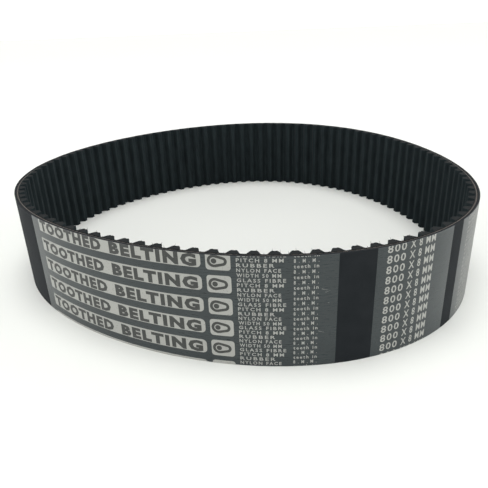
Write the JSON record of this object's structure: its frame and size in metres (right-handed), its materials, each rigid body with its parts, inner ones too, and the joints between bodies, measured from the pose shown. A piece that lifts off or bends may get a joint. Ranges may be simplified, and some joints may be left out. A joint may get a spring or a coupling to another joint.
{
  "type": "timing belt",
  "caption": "Endless toothed rubber timing belt with parabolic teeth inside a smooth back, standing as a free, nearly round loop that flexes into an oval.",
  "frame": {"origin": "in the middle of the loop's box, in the plane of the lower slit edge", "axes": "+Z across the belt's width, towards the upper slit edge; -Y is the front, where the hinge bend_20 is"},
  "size_m": [0.2536, 0.262, 0.05],
  "materials": {
    "belt_rubber": "satin black moulded rubber, with a smooth printed transfer over most of the back",
    "glass_cord": "twisted glass-fibre cord, cut flush at the belt's edges",
    "tooth_facing": "matt black woven nylon facing over rubber teeth"
  },
  "bodies": {
    "span_01": {"backing_01": "belt_rubber", "tension_cords_01": "glass_cord", "teeth_01": "tooth_facing"},
    "span_02": {"backing_02": "belt_rubber", "tension_cords_02": "glass_cord", "teeth_02": "tooth_facing"},
    "span_03": {"backing_03": "belt_rubber", "tension_cords_03": "glass_cord", "teeth_03": "tooth_facing"},
    "span_04": {"backing_04": "belt_rubber", "tension_cords_04": "glass_cord", "teeth_04": "tooth_facing"},
    "span_05": {"backing_05": "belt_rubber", "tension_cords_05": "glass_cord", "teeth_05": "tooth_facing"},
    "span_06": {"backing_06": "belt_rubber", "tension_cords_06": "glass_cord", "teeth_06": "tooth_facing"},
    "span_07": {"backing_07": "belt_rubber", "tension_cords_07": "glass_cord", "teeth_07": "tooth_facing"},
    "span_08": {"backing_08": "belt_rubber", "tension_cords_08": "glass_cord", "teeth_08": "tooth_facing"},
    "span_09": {"backing_09": "belt_rubber", "tension_cords_09": "glass_cord", "teeth_09": "tooth_facing"},
    "span_10": {"backing_10": "belt_rubber", "tension_cords_10": "glass_cord", "teeth_10": "tooth_facing"},
    "span_11": {"backing_11": "belt_rubber", "tension_cords_11": "glass_cord", "teeth_11": "tooth_facing"},
    "span_12": {"backing_12": "belt_rubber", "tension_cords_12": "glass_cord", "teeth_12": "tooth_facing"},
    "span_13": {"backing_13": "belt_rubber", "tension_cords_13": "glass_cord", "teeth_13": "tooth_facing"},
    "span_14": {"backing_14": "belt_rubber", "tension_cords_14": "glass_cord", "teeth_14": "tooth_facing"},
    "span_15": {"backing_15": "belt_rubber", "tension_cords_15": "glass_cord", "teeth_15": "tooth_facing"},
    "span_16": {"backing_16": "belt_rubber", "tension_cords_16": "glass_cord", "teeth_16": "tooth_facing"},
    "span_17": {"backing_17": "belt_rubber", "tension_cords_17": "glass_cord", "teeth_17": "tooth_facing"},
    "span_18": {"backing_18": "belt_rubber", "tension_cords_18": "glass_cord", "teeth_18": "tooth_facing"},
    "span_19": {"backing_19": "belt_rubber", "tension_cords_19": "glass_cord", "teeth_19": "tooth_facing"},
    "span_20": {"backing_20": "belt_rubber", "tension_cords_20": "glass_cord", "teeth_20": "tooth_facing"}
  },
  "joints": [
    {"name": "bend_20", "type": "hinge", "parent": "span_01", "child": "span_20", "pos_m": [0.01002, -0.12876, 0.025], "axis": [0, 0, -1], "range_deg": [-8, 8], "stiffness_Nm_per_rad": 0.04},
    {"name": "bend_19", "type": "hinge", "parent": "span_20", "child": "span_19", "pos_m": [-0.02871, -0.11922, 0.025], "axis": [0, 0, -1], "range_deg": [-7.08, 7.08], "stiffness_Nm_per_rad": 0.04},
    {"name": "bend_18", "type": "hinge", "parent": "span_19", "child": "span_18", "pos_m": [-0.06419, -0.10092, 0.025], "axis": [0, 0, -1], "range_deg": [-3.65, 3.65], "stiffness_Nm_per_rad": 0.04},
    {"name": "bend_17", "type": "hinge", "parent": "span_18", "child": "span_17", "pos_m": [-0.09454, -0.07504, 0.025], "axis": [0, 0, -1], "range_deg": [-1.55, 1.55], "stiffness_Nm_per_rad": 0.04},
    {"name": "bend_16", "type": "hinge", "parent": "span_17", "child": "span_16", "pos_m": [-0.11633, -0.0417, 0.025], "axis": [0, 0, -1], "range_deg": [-7.07, 7.07], "stiffness_Nm_per_rad": 0.04},
    {"name": "bend_15", "type": "hinge", "parent": "span_16", "child": "span_15", "pos_m": [-0.12526, -0.00295, 0.025], "axis": [0, 0, -1], "range_deg": [-9.75, 9.75], "stiffness_Nm_per_rad": 0.04},
    {"name": "bend_14", "type": "hinge", "parent": "span_15", "child": "span_14", "pos_m": [-0.11935, 0.03639, 0.025], "axis": [0, 0, -1], "range_deg": [-7.47, 7.47], "stiffness_Nm_per_rad": 0.04},
    {"name": "bend_13", "type": "hinge", "parent": "span_14", "child": "span_13", "pos_m": [-0.10057, 0.07152, 0.025], "axis": [0, 0, -1], "range_deg": [-2.34, 2.34], "stiffness_Nm_per_rad": 0.04},
    {"name": "bend_12", "type": "hinge", "parent": "span_13", "child": "span_12", "pos_m": [-0.07257, 0.09993, 0.025], "axis": [0, 0, -1], "range_deg": [-3.15, 3.15], "stiffness_Nm_per_rad": 0.04},
    {"name": "bend_11", "type": "hinge", "parent": "span_12", "child": "span_11", "pos_m": [-0.03814, 0.12004, 0.025], "axis": [0, 0, -1], "range_deg": [-7.73, 7.73], "stiffness_Nm_per_rad": 0.04},
    {"name": "bend_10", "type": "hinge", "parent": "span_11", "child": "span_10", "pos_m": [0.00061, 0.12923, 0.025], "axis": [0, 0, -1], "range_deg": [-9.48, 9.48], "stiffness_Nm_per_rad": 0.04},
    {"name": "bend_09", "type": "hinge", "parent": "span_10", "child": "span_09", "pos_m": [0.04007, 0.12439, 0.025], "axis": [0, 0, -1], "range_deg": [-6.6, 6.6], "stiffness_Nm_per_rad": 0.04},
    {"name": "bend_02", "type": "hinge", "parent": "span_01", "child": "span_02", "pos_m": [0.04974, -0.12631, 0.025], "axis": [0, 0, 1], "range_deg": [-6.54, 6.54], "stiffness_Nm_per_rad": 0.04},
    {"name": "bend_03", "type": "hinge", "parent": "span_02", "child": "span_03", "pos_m": [0.08552, -0.10908, 0.025], "axis": [0, 0, 1], "range_deg": [-2.07, 2.07], "stiffness_Nm_per_rad": 0.04},
    {"name": "bend_04", "type": "hinge", "parent": "span_03", "child": "span_04", "pos_m": [0.11108, -0.07869, 0.025], "axis": [0, 0, 1], "range_deg": [-3.19, 3.19], "stiffness_Nm_per_rad": 0.04},
    {"name": "bend_05", "type": "hinge", "parent": "span_04", "child": "span_05", "pos_m": [0.12354, -0.04088, 0.025], "axis": [0, 0, 1], "range_deg": [-6.65, 6.65], "stiffness_Nm_per_rad": 0.04},
    {"name": "bend_06", "type": "hinge", "parent": "span_05", "child": "span_06", "pos_m": [0.12456, -0.001, 0.025], "axis": [0, 0, 1], "range_deg": [-7.74, 7.74], "stiffness_Nm_per_rad": 0.04},
    {"name": "bend_07", "type": "hinge", "parent": "span_06", "child": "span_07", "pos_m": [0.11673, 0.03816, 0.025], "axis": [0, 0, 1], "range_deg": [-6.7, 6.7], "stiffness_Nm_per_rad": 0.04},
    {"name": "bend_08", "type": "hinge", "parent": "span_07", "child": "span_08", "pos_m": [0.10051, 0.07461, 0.025], "axis": [0, 0, 1], "range_deg": [-3.74, 3.74], "stiffness_Nm_per_rad": 0.04}
  ],
  "couplings": [
    {"joint": "bend_19", "follows": "bend_20", "ratio": 0.80449},
    {"joint": "bend_18", "follows": "bend_20", "ratio": 0.41491},
    {"joint": "bend_17", "follows": "bend_20", "ratio": -0.1757},
    {"joint": "bend_16", "follows": "bend_20", "ratio": -0.80339},
    {"joint": "bend_15", "follows": "bend_20", "ratio": -1.1078},
    {"joint": "bend_14", "follows": "bend_20", "ratio": -0.84923},
    {"joint": "bend_13", "follows": "bend_20", "ratio": -0.26568},
    {"joint": "bend_12", "follows": "bend_20", "ratio": 0.35825},
    {"joint": "bend_11", "follows": "bend_20", "ratio": 0.87859},
    {"joint": "bend_10", "follows": "bend_20", "ratio": 1.077},
    {"joint": "bend_09", "follows": "bend_20", "ratio": 0.75054},
    {"joint": "bend_02", "follows": "bend_20", "ratio": 0.74356},
    {"joint": "bend_03", "follows": "bend_20", "ratio": 0.23572},
    {"joint": "bend_04", "follows": "bend_20", "ratio": -0.36194},
    {"joint": "bend_05", "follows": "bend_20", "ratio": -0.75589},
    {"joint": "bend_06", "follows": "bend_20", "ratio": -0.87898},
    {"joint": "bend_07", "follows": "bend_20", "ratio": -0.76167},
    {"joint": "bend_08", "follows": "bend_20", "ratio": -0.42509}
  ]
}
